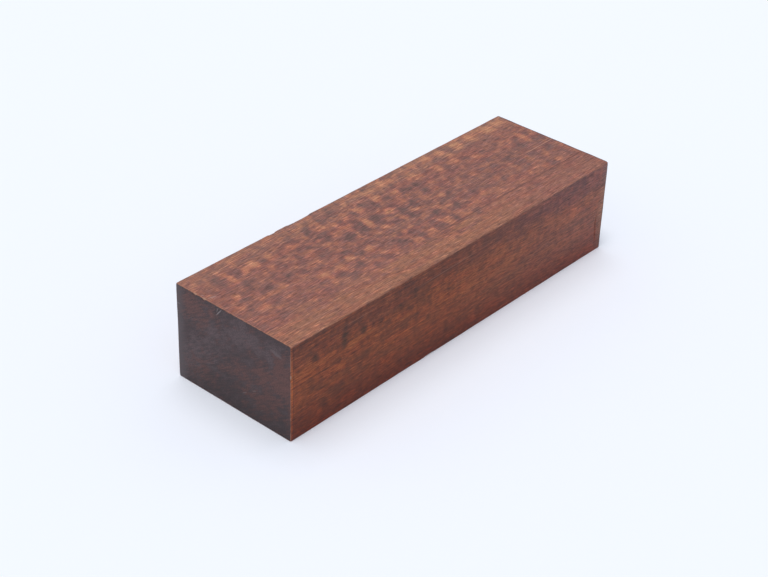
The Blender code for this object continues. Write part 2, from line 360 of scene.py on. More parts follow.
def face_distances(points):
    """Each point's distances to the nearer face on each axis, the smallest first.

    On the surface the first is 0, and the second is the distance to the nearest arris. The third is small
    only beside a corner.
    """
    return np.sort(np.minimum(points - LOW, HIGH - points), axis=1)


def wear_radii(points):
    """The radius of the rounding at each point."""
    radius = WEAR + WEAR_SPREAD * rough(points, WEAR_LENGTH, WEAR_SEED)
    near_far_end = fade(HIGH[ALONG] - points[:, ALONG], FAR_WEAR_REACH)
    near_right = fade(points[:, ACROSS] - LOW[ACROSS], FAR_WEAR_REACH)
    near_base = fade(points[:, UP] - LOW[UP], FAR_WEAR_STARTS)
    radius += (FAR_WEAR - WEAR) * np.sqrt(near_far_end * near_right * (1 - near_base))
    radius += (CORNER_WEAR - WEAR) * fade(face_distances(points)[:, 2], CORNER_REACH)
    from_broken = np.linalg.norm(points - (HIGH[ALONG], LOW[ACROSS], HIGH[UP]), axis=1)
    radius += (BROKEN_CORNER_WEAR - CORNER_WEAR) * fade(from_broken, BROKEN_CORNER_REACH)
    return radius


def rounded(points):
    """The points of the box, moved onto its worn arrises and corners."""
    radius = wear_radii(points)[:, None]
    inner = np.clip(points, LOW + radius, HIGH - radius)
    away = points - inner
    reach = np.linalg.norm(away, axis=1, keepdims=True)
    return inner + away / reach * radius


def break_out(points, surface, middle, radii):
    """Scoops one chip out of its arris: the two faces bend into an arc that lies inside the wood."""
    middle = LOW + np.array(middle) * MM
    radii = np.array(radii) * MM
    from_faces = np.minimum(middle - LOW, HIGH - middle)
    first, second = crossing = [axis for axis in range(3) if from_faces[axis] < ON_FACE]
    along = ALONG + ACROSS + UP - first - second
    away = np.abs(points - middle)
    depth = away / radii

    ragged = 1 + CHIP_ROUGHNESS * rough(points, CHIP_LUMPS, CHIP_SEED)
    size = np.sqrt(np.clip(1 - depth[:, along] ** 2, 0, 1)) * ragged
    size = np.maximum(size, SMALLEST_CHIP)
    turn = (depth[:, second] - depth[:, first]) / size
    angle = (np.clip(turn, -1, 1) + 1) * math.pi / 4
    scooped = points.copy()
    for axis, bend in ((first, np.cos(angle)), (second, np.sin(angle))):
        inwards = np.sign((LOW + HIGH)[axis] / 2 - middle[axis])
        scooped[:, axis] = middle[axis] + inwards * bend * size * radii[axis]

    on_arris_faces = away[:, crossing].min(axis=1) < ON_FACE
    in_reach = (depth[:, along] < 1) & (np.abs(turn) < 1)
    was_sunk, is_sunk = (np.abs(shape - middle)[:, crossing].sum(axis=1) for shape in (surface, scooped))
    takes = on_arris_faces & in_reach & (is_sunk > was_sunk)
    return np.where(takes[:, None], scooped, surface)


def cut_nick(points, surface):
    """The shallow leaning arc that the rim of a round saw left on the right side face."""
    on_right = points[:, ACROSS] < LOW[ACROSS] + ON_FACE
    rise = points[:, UP] - LOW[UP] - NICK_MIDDLE
    from_nick = points[:, ALONG] - (HIGH[ALONG] - NICK_FROM_FAR_END)
    near_nick = fade(from_nick, NICK_BEND_REACH) * fade(rise, NICK_HEIGHT)
    radius = NICK_HEIGHT**2 / (8 * NICK_DEPTH) + NICK_DEPTH / 2
    depth = np.sqrt(np.maximum(radius**2 - rise**2, 0)) - radius + NICK_DEPTH
    cut = surface.copy()
    cut[:, ALONG] -= on_right * near_nick * rise * math.tan(NICK_LEAN)
    cut[:, ACROSS] += on_right * np.clip(depth, 0, None) * np.sqrt(fade(from_nick, NICK_WIDTH))
    return cut


def grain_relief(points):
    """The depth of the grooves along the grain."""
    grooves = rough(points, GRAIN_SIZE, GRAIN_SEED)
    grooves += FINE_GRAIN_SHARE * rough(points, FINE_GRAIN_SIZE, FINE_GRAIN_SEED)
    return GRAIN_RELIEF * (0.5 + 0.5 * grooves / GRAIN_PEAK)


def saw_relief(points):
    """The depth of the marks of the saw, which slant over the ends."""
    cosine, sine = math.cos(SAW_SLOPE), math.sin(SAW_SLOPE)
    turned = points.copy()
    turned[:, ACROSS] = points[:, ACROSS] * cosine - points[:, UP] * sine
    turned[:, UP] = points[:, ACROSS] * sine + points[:, UP] * cosine
    return SAW_RELIEF * (0.5 + 0.5 * rough(turned, SAW_SIZE, SAW_SEED))


def hair_relief(points):
    """The depth of the bed on both sides of the raised fibre."""
    on_top = points[:, UP] > HIGH[UP] - ON_FACE
    from_end = HIGH[ALONG] - points[:, ALONG]
    from_hair = HIGH[ACROSS] - HAIR_FROM_BACK - points[:, ACROSS]
    bed = fade(from_hair, HAIR_BED) - fade(from_hair, HAIR_WIDTH)
    return on_top * HAIR_RISE * bed * fade(from_end, HAIR_LENGTH)


def sink_relief(points, surface):
    """Moves every face inwards by the depth of its relief, which ends before the arrises."""
    from_faces = np.minimum(points - LOW, HIGH - points)
    on_long_face = from_faces[:, [ACROSS, UP]].min(axis=1) < ON_FACE
    depth = np.where(on_long_face, grain_relief(points), saw_relief(points)) + hair_relief(points)
    depth *= 1 - fade(face_distances(points)[:, 1], RELIEF_CALM)
    inwards = (points < LOW + ON_FACE).astype(float) - (points > HIGH - ON_FACE)
    return surface + depth[:, None] * inwards


def unwrap(mesh, points, faces, sides):
    """One flat map that holds all six faces, each at the same scale."""
    length, width, height = SIZE
    whole = length + width + 3 * MAP_GAP
    places = {
        TOP: (MAP_GAP, MAP_GAP, ALONG, ACROSS),
        BASE: (MAP_GAP, 2 * MAP_GAP + width, ALONG, ACROSS),
        RIGHT: (MAP_GAP, 3 * MAP_GAP + 2 * width, ALONG, UP),
        BACK: (MAP_GAP, 4 * MAP_GAP + 2 * width + height, ALONG, UP),
        NEAR_END: (2 * MAP_GAP + length, MAP_GAP, ACROSS, UP),
        FAR_END: (2 * MAP_GAP + length, 2 * MAP_GAP + height, ACROSS, UP),
    }
    corners = points[faces.reshape(-1)] - LOW
    corner_sides = np.repeat(sides, 4)
    uv = np.zeros((len(corners), 2))
    for side, (left, foot, over, upward) in places.items():
        chosen = corner_sides == side
        uv[chosen, 0] = (left + corners[chosen, over]) / whole
        uv[chosen, 1] = (foot + corners[chosen, upward]) / whole
    mesh.uv_layers.new(name=MAP_NAME).data.foreach_set("uv", uv.ravel())


def top_mark(along, across, length, width, strength):
    return (along, across, 0.0), (length, width, width), strength


def side_mark(along, down, length, width, strength):
    return (along, WIDTH_MM, down), (length, width, width), strength


def end_mark(across, down, width, height, strength):
    return (0.0, across, down), (END_MARK_DEPTH, width, height), strength


def back_mark(along, down, length, width, strength):
    return (along, 0.0, down), (length, width, width), strength


def base_mark(along, across, length, width, strength):
    return (along, across, HEIGHT_MM), (length, width, width), strength


def drawn_size(draw, widths, lengths, strengths):
    """The length, width and strength of one mark, drawn at random between their limits."""
    width = draw.uniform(*widths)
    return draw.uniform(*lengths), width, draw.uniform(*strengths)


def ruled_marks(make_mark, rows, face_strength, seed):
    """Rows of ovals over one face, and the flecks that follow them."""
    draw = random.Random(seed)
    ovals, flecks = [], []
    for row in range(rows):
        along = draw.uniform(0.0, PITCH)
        while along < LENGTH_MM:
            over = (row + 0.5 + draw.uniform(-ROW_WANDER, ROW_WANDER)) * ROW_HEIGHT
            length, width, strength = drawn_size(draw, OVAL_WIDTHS, OVAL_LENGTHS, OVAL_STRENGTHS)
            ovals.append(make_mark(along, over, length, width, face_strength * strength))
            after = along + PITCH * draw.uniform(*FLECK_AFTER_OVAL)
            length, width, strength = drawn_size(draw, FLECK_WIDTHS, FLECK_LENGTHS, FLECK_STRENGTHS)
            flecks.append(make_mark(after, over, length, width, face_strength * strength))
            along += PITCH * draw.uniform(*PITCH_SHARES)
    return ovals, flecks


def mark_field(places, marks):
    """The marks added up, each as strong as it is at its middle and fading to 0 at its rim."""
    field = np.zeros(len(places))
    for middle, size, strength in marks:
        reach = np.array(size) / 2 * MARK_SPREAD
        away = np.sum(((places - middle) / reach) ** 2, axis=1)
        field += strength * np.clip(1 - away, 0, 1) ** 2
    return field


def figure_fields(points):
    """The dark ovals and the light flecks of the whole blank. On the ends they are pale and red patches."""
    ovals = [top_mark(*mark) for mark in TOP_OVALS] + [side_mark(*mark) for mark in SIDE_OVALS]
    flecks = [top_mark(*mark) for mark in TOP_FLECKS] + [side_mark(*mark) for mark in SIDE_FLECKS]
    ovals += [end_mark(*mark) for mark in END_PALE]
    flecks += [end_mark(*mark) for mark in END_RED]
    back = ruled_marks(back_mark, BACK_ROWS, BACK_STRENGTH, BACK_SEED)
    base = ruled_marks(base_mark, BASE_ROWS, BASE_STRENGTH, BASE_SEED)
    for more_ovals, more_flecks in (back, base):
        ovals += more_ovals
        flecks += more_flecks
    places = (points - (LOW[ALONG], HIGH[ACROSS], HIGH[UP])) / MM * (1, -1, -1)
    bend = np.stack([rough(places, MARK_BEND_SIZE, seed) for seed in MARK_BEND_SEEDS], axis=1)
    places = places + bend * MARK_BEND
    return mark_field(places, ovals), mark_field(places, flecks)


def blank_mesh():
    """The mesh, with what its materials read from it.

    Its points carry the distance to the nearest arris in mm, the dark ovals, the light flecks and the depth
    of the chips.
    """
    points, faces, sides = lattice()
    whole = rounded(points)
    surface = whole
    for middle, radii in CHIPS:
        surface = break_out(points, surface, middle, radii)
    broken = np.linalg.norm(surface - whole, axis=1) / BROKEN_DEPTH
    surface = sink_relief(points, cut_nick(points, surface))
    mesh = bpy.data.meshes.new("snakewood_blank")
    mesh.from_pydata(surface.tolist(), [], faces.tolist())
    ovals, flecks = figure_fields(points)
    to_arris = face_distances(points)[:, 1] / MM
    for name, values in (("to_arris", to_arris), ("oval", ovals), ("fleck", flecks), ("broken", broken)):
        mesh.attributes.new(name, "FLOAT", "POINT").data.foreach_set("value", values)
    unwrap(mesh, points, faces, sides)
    mesh.materials.append(long_grain_material())
    mesh.materials.append(end_grain_material())
    mesh.polygons.foreach_set("material_index", np.isin(sides, (NEAR_END, FAR_END)).astype(int))
    mesh.shade_smooth()
    mesh.update()
    return mesh


def make_blank():
    blank = bpy.data.objects.new("snakewood_blank", blank_mesh())
    bpy.context.scene.collection.objects.link(blank)
    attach(blank, "root")
    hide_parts("snakewood_block")


class Nodes:
    """Builds a node tree: most methods add one node or a few, and return the socket that they give."""

    # Sockets of a mix node that mixes colours
    MIX_SHARE, MIX_FIRST, MIX_SECOND, MIX_RESULT = 0, 6, 7, 2

    def __init__(self, owner):
        owner.use_nodes = True
        self.tree = owner.node_tree
        self.tree.nodes.clear()

    def add(self, kind, inputs=(), output=0, **settings):
        node = self.tree.nodes.new(kind)
        for name, value in settings.items():
            setattr(node, name, value)
        for key, value in dict(inputs).items():
            socket = node.inputs[key]
            if isinstance(value, bpy.types.NodeSocket):
                self.tree.links.new(value, socket)
            else:
                socket.default_value = value
        return node.outputs[output]

    def show(self, kind, surface):
        """Ends the tree with an output node of that kind."""
        node = self.tree.nodes.new(kind)
        self.tree.links.new(surface, node.inputs["Surface"])

    def math(self, operation, *values):
        return self.add("ShaderNodeMath", dict(enumerate(values)), operation=operation)

    def difference(self, first, second):
        return self.math("SUBTRACT", first, second)

    def total(self, first, *others):
        for value in others:
            first = self.math("ADD", first, value)
        return first

    def product(self, first, *others):
        for value in others:
            first = self.math("MULTIPLY", first, value)
        return first

    def swing(self, value, amount):
        """A value from 0 to 1, centred on zero and scaled."""
        return self.product(self.difference(value, 0.5), amount)

    def remap(self, value, low, high, to_low=0.0, to_high=1.0, smooth=True):
        """Goes from to_low to to_high while the value goes from low to high, and stays there outside."""
        inputs = {"Value": value, "From Min": low, "From Max": high, "To Min": to_low, "To Max": to_high}
        kind = "SMOOTHSTEP" if smooth else "LINEAR"
        return self.add("ShaderNodeMapRange", inputs, interpolation_type=kind)

    def between(self, share, first, second):
        """The first number where the share is 0, the second where it is 1."""
        return self.remap(share, 0.0, 1.0, first, second, smooth=False)

    def band(self, value, middle, half, soft):
        """1 within half of the middle, falling to 0 over soft."""
        away = self.math("ABSOLUTE", self.difference(value, middle))
        return self.remap(away, half, half + soft, 1.0, 0.0)

    def vector(self, operation, *values):
        return self.add("ShaderNodeVectorMath", dict(enumerate(values)), operation=operation)

    def length(self, value):
        return self.add("ShaderNodeVectorMath", {0: value}, output="Value", operation="LENGTH")

    def stretch(self, value, size, turn=(0, 0, 0), place=(0, 0, 0)):
        """The coordinates about a place, turned, and divided by size on each axis."""
        inputs = {"Vector": value, "Location": place, "Rotation": turn, "Scale": size}
        return self.add("ShaderNodeMapping", inputs, vector_type="TEXTURE")

    def mix(self, share, first, second, blend="MIX"):
        inputs = {self.MIX_SHARE: share, self.MIX_FIRST: first, self.MIX_SECOND: second}
        return self.add("ShaderNodeMix", inputs, self.MIX_RESULT, data_type="RGBA", blend_type=blend)

    def tint(self, share, colour, factors):
        """The colour, multiplied by one factor for each channel where the share is 1."""
        return self.mix(share, colour, factors, "MULTIPLY")

    def shade(self, colour, factor):
        """The colour, multiplied by one factor."""
        grey = self.add("ShaderNodeCombineColor", {0: factor, 1: factor, 2: factor})
        return self.tint(1.0, colour, grey)

    def ramp(self, value, stops):
        """Colours along a value, each stop being its place and its colour."""
        first, last = stops[0][0], stops[-1][0]
        socket = self.add("ShaderNodeValToRGB", {0: self.remap(value, first, last, smooth=False)})
        elements = socket.node.color_ramp.elements
        for i, (place, colour) in enumerate(stops):
            element = elements[i] if i < 2 else elements.new(1.0)
            element.position = (place - first) / (last - first)
            element.color = colour
        return socket


def rgb(red, green, blue):
    return (red, green, blue, 1.0)


# Each kind of noise in the wood: the size of its lumps along, across and down, in mm, its detail and its
# roughness
MOTTLE = ((2.1, 2.8, 2.8), 2.5, 0.6)
CLOUDS = ((14.0, 2.6, 2.6), 4.0, 0.6)
STRANDS = ((3.4, 0.38, 0.38), 2.0, 0.6)
RED_STREAKS = ((9.0, 2.0, 2.0), 2.0, 0.5)
LONG_LINES = ((26.0, 0.50, 0.50), 4.0, 0.7)
SHORT_LINES = ((2.6, 0.22, 0.22), 2.0, 0.7)
PALE_FIBRES = ((4.2, 0.26, 0.26), 1.0, 0.5)
FLAKES = ((0.9, 0.55, 0.55), 2.0, 0.7)
PORES = ((2.6, 0.20, 0.20), 1.0, 0.5)
PATCHES = ((1.2, 1.2, 1.2), 2.0, 0.5)
SAW_STREAKS = ((10.0, 3.4, 0.60), 3.0, 0.6)
END_CLOUDS = ((10.0, 4.2, 2.8), 4.0, 0.65)
SPECKS = ((0.3, 0.3, 0.3), 2.0, 0.7)

# The colours of the figure, from its palest flecks at -1 to its darkest ovals at 1
FIGURE_COLOURS = (
    (-1.00, rgb(0.485, 0.207, 0.116)),
    (-0.50, rgb(0.408, 0.157, 0.094)),
    (-0.15, rgb(0.318, 0.131, 0.089)),
    (0.15, rgb(0.259, 0.110, 0.084)),
    (0.50, rgb(0.208, 0.099, 0.081)),
    (1.00, rgb(0.152, 0.083, 0.067)),
)

# How much each mark and each kind of noise moves the figure
OVAL_SHARE = 0.72
FLECK_SHARE = 0.84
STRANDS_SWING = 1.5
TOP_MOTTLE_SWING = 2.7
SIDE_MOTTLE_SWING = 1.7
SIDE_CLOUDS_SWING = 1.4

# Below, a change is four numbers: the two places in mm between which something changes, and what it is at
# each of them. With two numbers it goes from 0 to 1. The values of a noise or a field can stand for places.
# Three numbers are a strip or a line: its middle, half its width and how far it fades beyond that, in mm.
OFF_TOP = (0.15, 0.7)
ON_RIGHT = (WIDTH_MM - 1.0, WIDTH_MM - 0.4)

# The figure is calmer at the ends and the right edge of the top, and boldest on the near upper part of the
# side. Clouds push the edges of the strips back and forth by up to half of EDGE_WANDER.
EDGE_WANDER = 22.0
NEAR_CALM = (24.0, 42.0, 0.76, 1.0)
FAR_CALM = (92.0, 76.0, 0.70, 1.0)
MARKS_CALM = (0.62, 1.0, 0.75, 1.0)
RIGHT_CALM = (38.0, 27.0, 0.38, 1.0)
SIDE_NEAR_BOLD = (30.0, 90.0, 1.65, 1.0)
SIDE_LOW_CALM = (9.0, 18.0, 1.0, 0.56)

# Strips of the top, and streaks, with a tint of their own
RIGHT_STRIP = (29.0, 36.0)
RIGHT_STRIP_ENDS = (104.0, 76.0, 0.15, 1.0)
RIGHT_PALER = 0.22
WARM_TINT = rgb(0.97, 1.02, 0.93)
BACK_STRIP = (9.0, 2.0)
BACK_STRIP_GROWS = (0.0, 90.0, 0.6, 1.0)
BACK_PALER = 0.12
BACK_TINT = rgb(1.05, 1.20, 1.16)
MIDDLE_STRIP = (20.0, 2.5, 4.0)
MIDDLE_STRIP_STARTS = (44.0, 54.0)
MIDDLE_TINT = rgb(0.915, 0.965, 0.99)
RED_STREAKS_SHOW = (0.40, 0.65, 0.0, 0.6)
RED_TINT = rgb(1.06, 0.88, 0.90)

# The fibres: how much the lines swing on the top and off it, and where in their noise the others show
LONG_LINE_SWINGS = (1.1, 1.6)
SHORT_LINE_SWINGS = (1.5, 2.0)
PALE_FIBRES_SHOW = (0.57, 0.67)
PALE_FIBRE_FACTORS = (1.55, 1.30)
FLAKES_SWING = 0.8
PORES_SHOW = (0.56, 0.67, 1.0, 0.60)

# The sides: a base tint that grows lighter and greyer to the far end, a painted sheen, a foot darkened by
# painted shade, a purplish band below the top arris and the stained wood beside the far end
SIDE_TINT = rgb(0.64, 0.37, 0.20)
# Paler and greyer than the base tint: painted sheen, reached at the far end
SIDE_FAR_SHEEN_TINT = rgb(0.93, 0.785, 0.715)
SIDE_SHEEN_GROWS = (58.0, 132.0)
# Painted shade: the side grows darker towards its base
SHADED_FOOT = (16.0, 29.0)
SHADED_FOOT_TINT = rgb(0.68, 0.46, 0.44)
BAND = (8.0, 5.0, 0.0, 0.9)
BAND_WANDER = 9.0
BAND_TINT = rgb(0.77, 0.82, 1.12)
FAR_STAIN = (LENGTH_MM - 3.5, LENGTH_MM + 0.2)
FAR_STAIN_TINT = rgb(1.03, 1.42, 1.46)

# The brighter strip of the right side beside the near end, and the fine dark line at its edge
NEAR_STRIP = (0.95, 0.60)
NEAR_STRIP_TINT = rgb(1.14, 1.10, 0.95)
NEAR_LINE = (1.0, 0.06, 0.16)
NEAR_LINE_STRENGTH = 0.42

# Fine straight lines in the wood, and a painted shadow beside the raised fibre: place across it (down it, on
# the side), rise per mm along, half width, where each starts and ends along the wood, in mm, and how
# strongly it shows
TOP_PALE_LINES = ((20.2, 0.0, 0.14, 112.0, 136.0, 0.62), (36.0, 0.0, 0.30, 4.0, 24.0, 0.12))
# The second dark line of the top is a painted shadow beside the raised fibre
TOP_DARK_LINES_AND_FIBRE_SHADOW = ((30.8, 0.0, 0.16, 62.0, 136.0, 0.55), (20.55, 0.0, 0.12, 108.0, 136.0, 0.35))
SIDE_PALE_LINES = ((4.6, -0.02, 0.12, 46.0, 70.0, 0.24), (3.2, 0.0, 0.10, 16.0, 31.0, 0.24))
SIDE_DARK_LINES = (
    (1.4, 0.0, 0.12, -6.0, 60.0, 0.40), (2.5, 0.0, 0.14, 2.0, 46.0, 0.35),
    (4.0, 0.0, 0.12, -6.0, 34.0, 0.40), (5.0, -0.01, 0.16, 30.0, 90.0, 0.30),
    (12.6, 0.0, 0.14, -6.0, 50.0, 0.25), (7.2, 0.0, 0.12, 84.0, 136.0, 0.25),
)
LINE_OUTER = 2.0
LINE_INNER = 0.5
LINE_STARTS_OVER = 6.0
LINE_ENDS_OVER = 4.0
PALE_LINE = rgb(0.540, 0.255, 0.180)
DARK_LINE = rgb(0.100, 0.045, 0.036)
PALE_SIDE_LINE = rgb(0.460, 0.190, 0.120)
DARK_SIDE_LINE = rgb(0.055, 0.016, 0.011)

# Scratches: place of the middle in mm, half length, half width, turn and strength
END_SCRATCHES = (
    ((0.0, 15.4, 1.7), 1.5, 0.15, -0.89, 0.45), ((0.0, 14.9, 1.2), 0.7, 0.12, -1.20, 0.30),
    ((0.0, 35.0, 4.4), 2.0, 0.50, 0.24, 0.09), ((0.0, 24.0, 21.5), 0.9, 0.14, -0.60, 0.16),
    ((0.0, 30.0, 24.0), 0.8, 0.12, -0.70, 0.08), ((0.0, 12.5, 18.4), 1.6, 0.12, -0.35, 0.06),
    ((0.0, 27.5, 19.3), 0.7, 0.20, -0.50, 0.12), ((0.0, 0.6, 5.6), 0.8, 0.10, 0.10, 0.35),
)
TOP_SCRATCHES = (((1.9, 11.2, 0.0), 1.05, 0.14, 0.29, 0.50), ((0.7, 9.0, 0.0), 0.5, 0.10, 0.90, 0.40))
SCRATCH_DEPTH = 5.0
SCRATCH_EDGE = (1.3, 0.6)
SCRATCH = rgb(0.420, 0.340, 0.330)

# Worn arrises, painted paler for rubbed wood and a painted highlight, palest on the long faces at the near
# end, and bare wood in the chips
LONG_FACE_WEAR_AND_HIGHLIGHT = (0.30, 0.04)
LONG_FACE_WEAR_AND_HIGHLIGHT_ALONG = (0.8, 0.3, 0.18, 0.65)
LONG_FACE_PATCHES = (0.35, 0.60, 0.35, 1.0)
END_WEAR_AND_HIGHLIGHT = (0.28, 0.02, 0.0, 0.5)
END_PATCHES = (0.35, 0.60, 0.2, 1.0)
WEAR_AND_HIGHLIGHT = rgb(0.47, 0.21, 0.13)
BARE = (0.3, 1.6, 0.0, 0.62)
BROKEN = rgb(0.500, 0.280, 0.190)

# The waxed ends: pale and red clouds, slanting streaks that weaken to the right, a darker foot, fine specks,
# and the rim of the wax, which also shows at the far end of the long faces
WAX_DARK = rgb(0.053, 0.0275, 0.0288)
WAX_PALE = rgb(0.094, 0.056, 0.058)
WAX_RED = rgb(0.120, 0.045, 0.036)
WAX_RIM = rgb(0.100, 0.075, 0.078)
END_CLOUDS_SWING = 3.4
PALE_SHOWS = (-0.1, 1.0, 0.0, 0.9)
RED_SHOWS = (0.0, 1.1, 0.0, 0.85)
RED_STREAK_SWING = 1.2
STREAK_SWINGS = (12.0, 24.0, 1.9, 1.2)
SPECKS_SWING = 1.9
END_FOOT = (12.0, HEIGHT_MM, 1.0, 0.73)
BACK_RIM = (4.0, 0.2, 0.0, 0.75)
FAR_RIM = (LENGTH_MM - 0.55, LENGTH_MM - 0.25, 0.0, 0.75)

# The surface: roughness follows the grain, and so does a very fine bump
WOOD_IOR = 1.5
BUMP_HEIGHT = 0.05 * MM
LONG_FACE_ROUGHNESS = (0.3, 0.7, 0.46, 0.60)
LONG_FACE_BUMP = 0.4
LONG_FACE_SPECULAR = 0.25
END_ROUGHNESS = (0.3, 0.7, 0.38, 0.5)
END_BUMP = 0.5
END_SPECULAR = 0.30


class Wood(Nodes):
    """The nodes of one material of the blank."""

    def __init__(self, name):
        self.material = bpy.data.materials.new(name)
        super().__init__(self.material)
        place = self.add("ShaderNodeTexCoord", output="Object")
        from_corner = self.vector("SUBTRACT", place, (LOW[ALONG], HIGH[ACROSS], HIGH[UP]))
        self.places = self.vector("MULTIPLY", from_corner, (1 / MM, -1 / MM, -1 / MM))
        parts = self.add("ShaderNodeSeparateXYZ", {0: self.places}).node.outputs
        self.along, self.across, self.down = parts

    def field(self, name):
        """A value that the points of the mesh carry."""
        return self.add("ShaderNodeAttribute", output="Fac", attribute_name=name)

    def noise(self, kind, places=None):
        """One kind of noise, from 0 to 1."""
        size, detail, roughness = kind
        stretched = self.stretch(self.places if places is None else places, size)
        inputs = {"Vector": stretched, "Scale": 1.0, "Detail": detail, "Roughness": roughness}
        return self.add("ShaderNodeTexNoise", inputs, output="Fac")

    def scratch(self, colour, scratches, axis):
        """Short pale scratches on the face that lies square to the axis."""
        for middle, half_length, half_width, turn, strength in scratches:
            turns = [turn if i == axis else 0.0 for i in range(3)]
            size = [half_length, half_width]
            size.insert(axis, SCRATCH_DEPTH)
            away = self.length(self.stretch(self.places, size, turns, middle))
            colour = self.mix(self.remap(away, *SCRATCH_EDGE, 0.0, strength), colour, SCRATCH)
        return colour

    def wear_and_highlight(self, colour, at_arris, patches, strength=1.0):
        """Rubs the arrises paler in patches, as wear and a painted highlight, and bares the wood in the
        chips.
        """
        worn = self.remap(self.field("to_arris"), *at_arris)
        patchy = self.remap(self.noise(PATCHES), *patches)
        # The pale arrises stand for rubbed wood and also a painted highlight
        colour = self.mix(self.product(worn, patchy, strength), colour, WEAR_AND_HIGHLIGHT)
        return self.mix(self.remap(self.field("broken"), *BARE), colour, BROKEN)

    def finish(self, colour, relief, roughness, bump, specular):
        """The material, with its surface following the relief."""
        bumps = {"Strength": bump, "Distance": BUMP_HEIGHT, "Height": relief}
        inputs = {
            "Base Color": colour,
            "Roughness": self.remap(relief, *roughness, smooth=False),
            "IOR": WOOD_IOR,
            "Specular IOR Level": specular,
            "Normal": self.add("ShaderNodeBump", bumps),
        }
        self.show("ShaderNodeOutputMaterial", self.add("ShaderNodeBsdfPrincipled", inputs))
        return self.material


class LongGrain(Wood):
    """The nodes of the four long faces, with the parts of the wood that several of their layers share."""

    def __init__(self):
        super().__init__("snakewood_long_grain")
        self.off_top = self.remap(self.down, *OFF_TOP)
        self.on_top = self.difference(1.0, self.off_top)
        self.on_right = self.product(self.off_top, self.remap(self.across, *ON_RIGHT))
        self.clouds = self.noise(CLOUDS)
        self.grain = self.noise(LONG_LINES)
        self.wandering = self.total(self.across, self.swing(self.clouds, EDGE_WANDER))
        self.right_strip = self.product(
            self.remap(self.wandering, *RIGHT_STRIP), self.remap(self.along, *RIGHT_STRIP_ENDS)
        )
        self.back_strip = self.product(
            self.remap(self.across, *BACK_STRIP), self.on_top, self.remap(self.along, *BACK_STRIP_GROWS)
        )

    def figure(self):
        """How light or dark the figure is, from -1 in its palest flecks to 1 in its darkest ovals."""
        mottle = self.noise(MOTTLE)
        calm = self.product(self.remap(self.along, *NEAR_CALM), self.remap(self.along, *FAR_CALM))
        bold = self.product(self.remap(self.along, *SIDE_NEAR_BOLD), self.remap(self.down, *SIDE_LOW_CALM))
        lively = self.product(self.remap(self.wandering, *RIGHT_CALM), self.on_top, calm)
        on_top = self.product(self.swing(mottle, TOP_MOTTLE_SWING), lively)
        soft = self.total(self.swing(self.clouds, SIDE_CLOUDS_SWING), self.swing(mottle, SIDE_MOTTLE_SWING))
        off_top = self.product(soft, bold, self.off_top)
        strands = self.swing(self.noise(STRANDS), STRANDS_SWING)

        ovals = self.product(self.field("oval"), OVAL_SHARE)
        flecks = self.product(self.field("fleck"), FLECK_SHARE)
        on_top_marks = self.remap(calm, *MARKS_CALM, smooth=False)
        marks = self.product(self.difference(ovals, flecks), self.between(self.off_top, on_top_marks, bold))

        paler_right = self.product(self.right_strip, RIGHT_PALER)
        paler_back = self.product(self.back_strip, BACK_PALER)
        darkness = self.total(on_top, off_top, strands, marks)
        return self.difference(darkness, self.total(paler_right, paler_back))

    def ground(self):
        """The colours of the figure, redder in streaks and each strip of the top with its tint."""
        colour = self.ramp(self.figure(), FIGURE_COLOURS)
        red = self.remap(self.noise(RED_STREAKS), *RED_STREAKS_SHOW)
        middle_starts = self.remap(self.along, *MIDDLE_STRIP_STARTS)
        middle_strip = self.product(self.band(self.across, *MIDDLE_STRIP), middle_starts, self.on_top)
        colour = self.tint(red, colour, RED_TINT)
        colour = self.tint(self.right_strip, colour, WARM_TINT)
        colour = self.tint(self.back_strip, colour, BACK_TINT)
        return self.tint(middle_strip, colour, MIDDLE_TINT)

    def add_fibres(self, colour):
        """Long soft lines, short fine ones, crisp pale fibres, flakes off the top, and dark pores."""
        long_lines = self.swing(self.grain, self.between(self.off_top, *LONG_LINE_SWINGS))
        short_lines = self.swing(self.noise(SHORT_LINES), self.between(self.off_top, *SHORT_LINE_SWINGS))
        colour = self.shade(colour, self.total(1.0, long_lines, short_lines))
        pale = self.between(self.off_top, *PALE_FIBRE_FACTORS)
        colour = self.shade(colour, self.remap(self.noise(PALE_FIBRES), *PALE_FIBRES_SHOW, 1.0, pale))
        flakes = self.product(self.swing(self.noise(FLAKES), FLAKES_SWING), self.off_top)
        colour = self.shade(colour, self.total(1.0, flakes))
        return self.shade(colour, self.remap(self.noise(PORES), *PORES_SHOW))

    def deepen_sides(self, colour):
        """Away from the top the wood is redder and deeper. Painted sheen makes it lighter and greyer towards
        the far end, and painted shade darkens its foot.
        """
        # Painted sheen: the side turns lighter and greyer towards the far end
        lighter = self.remap(self.along, *SIDE_SHEEN_GROWS, smooth=False)
        side = self.mix(lighter, SIDE_TINT, SIDE_FAR_SHEEN_TINT)
        # Painted shade at the foot
        side = self.tint(self.remap(self.down, *SHADED_FOOT), side, SHADED_FOOT_TINT)
        band_place = self.total(self.down, self.swing(self.clouds, BAND_WANDER))
        side = self.tint(self.remap(band_place, *BAND), side, BAND_TINT)
        side = self.tint(self.remap(self.along, *FAR_STAIN), side, FAR_STAIN_TINT)
        return self.tint(self.off_top, colour, side)

    def draw_lines(self, colour, over, lines, line_colour, mask):
        """Fine straight lines at their places over a face, each fading in and out along the wood."""
        for place, rise, half, start, end, strength in lines:
            drift = self.product(self.difference(self.along, start), rise)
            away = self.math("ABSOLUTE", self.difference(self.difference(over, drift), place))
            line = self.remap(away, LINE_OUTER * half, LINE_INNER * half, 0.0, strength)
            starts = self.remap(self.along, start, start + LINE_STARTS_OVER)
            ends = self.remap(self.along, end, end - LINE_ENDS_OVER)
            colour = self.mix(self.product(line, starts, ends, mask), colour, line_colour)
        return colour

    def draw_near_strip(self, colour):
        strip = self.product(self.remap(self.along, *NEAR_STRIP), self.on_right)
        colour = self.tint(strip, colour, NEAR_STRIP_TINT)
        line = self.product(self.band(self.along, *NEAR_LINE), self.on_right, NEAR_LINE_STRENGTH)
        return self.mix(line, colour, DARK_SIDE_LINE)


